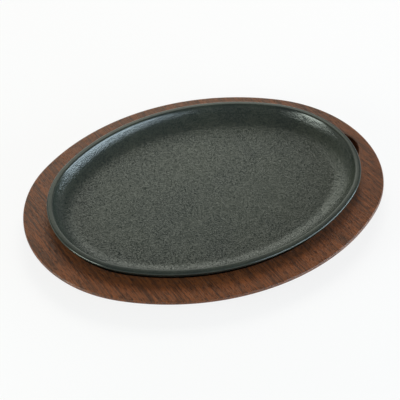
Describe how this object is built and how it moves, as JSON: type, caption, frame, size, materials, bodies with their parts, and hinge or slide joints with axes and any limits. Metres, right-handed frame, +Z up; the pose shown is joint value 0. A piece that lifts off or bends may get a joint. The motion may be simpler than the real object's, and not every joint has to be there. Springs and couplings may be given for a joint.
{
  "type": "sizzle platter",
  "caption": "Oval cast iron platter with a raised flat rim, standing in the recess of an oval wooden underliner with an undercut edge and a finger notch.",
  "frame": {"origin": "middle of the underliner's flat underside", "axes": "+X along the oval's long axis towards the finger notch, +Z up"},
  "size_m": [0.2914, 0.2274, 0.025],
  "materials": {
    "seasoned_iron": "pebbled sand-cast skin under a thin oiled seasoning, rim ground smooth",
    "stained_wood": "reddish brown stain under a thin satin varnish, grain across the board"
  },
  "bodies": {
    "root": {"platter": "seasoned_iron", "underliner": "stained_wood"}
  },
  "joints": []
}
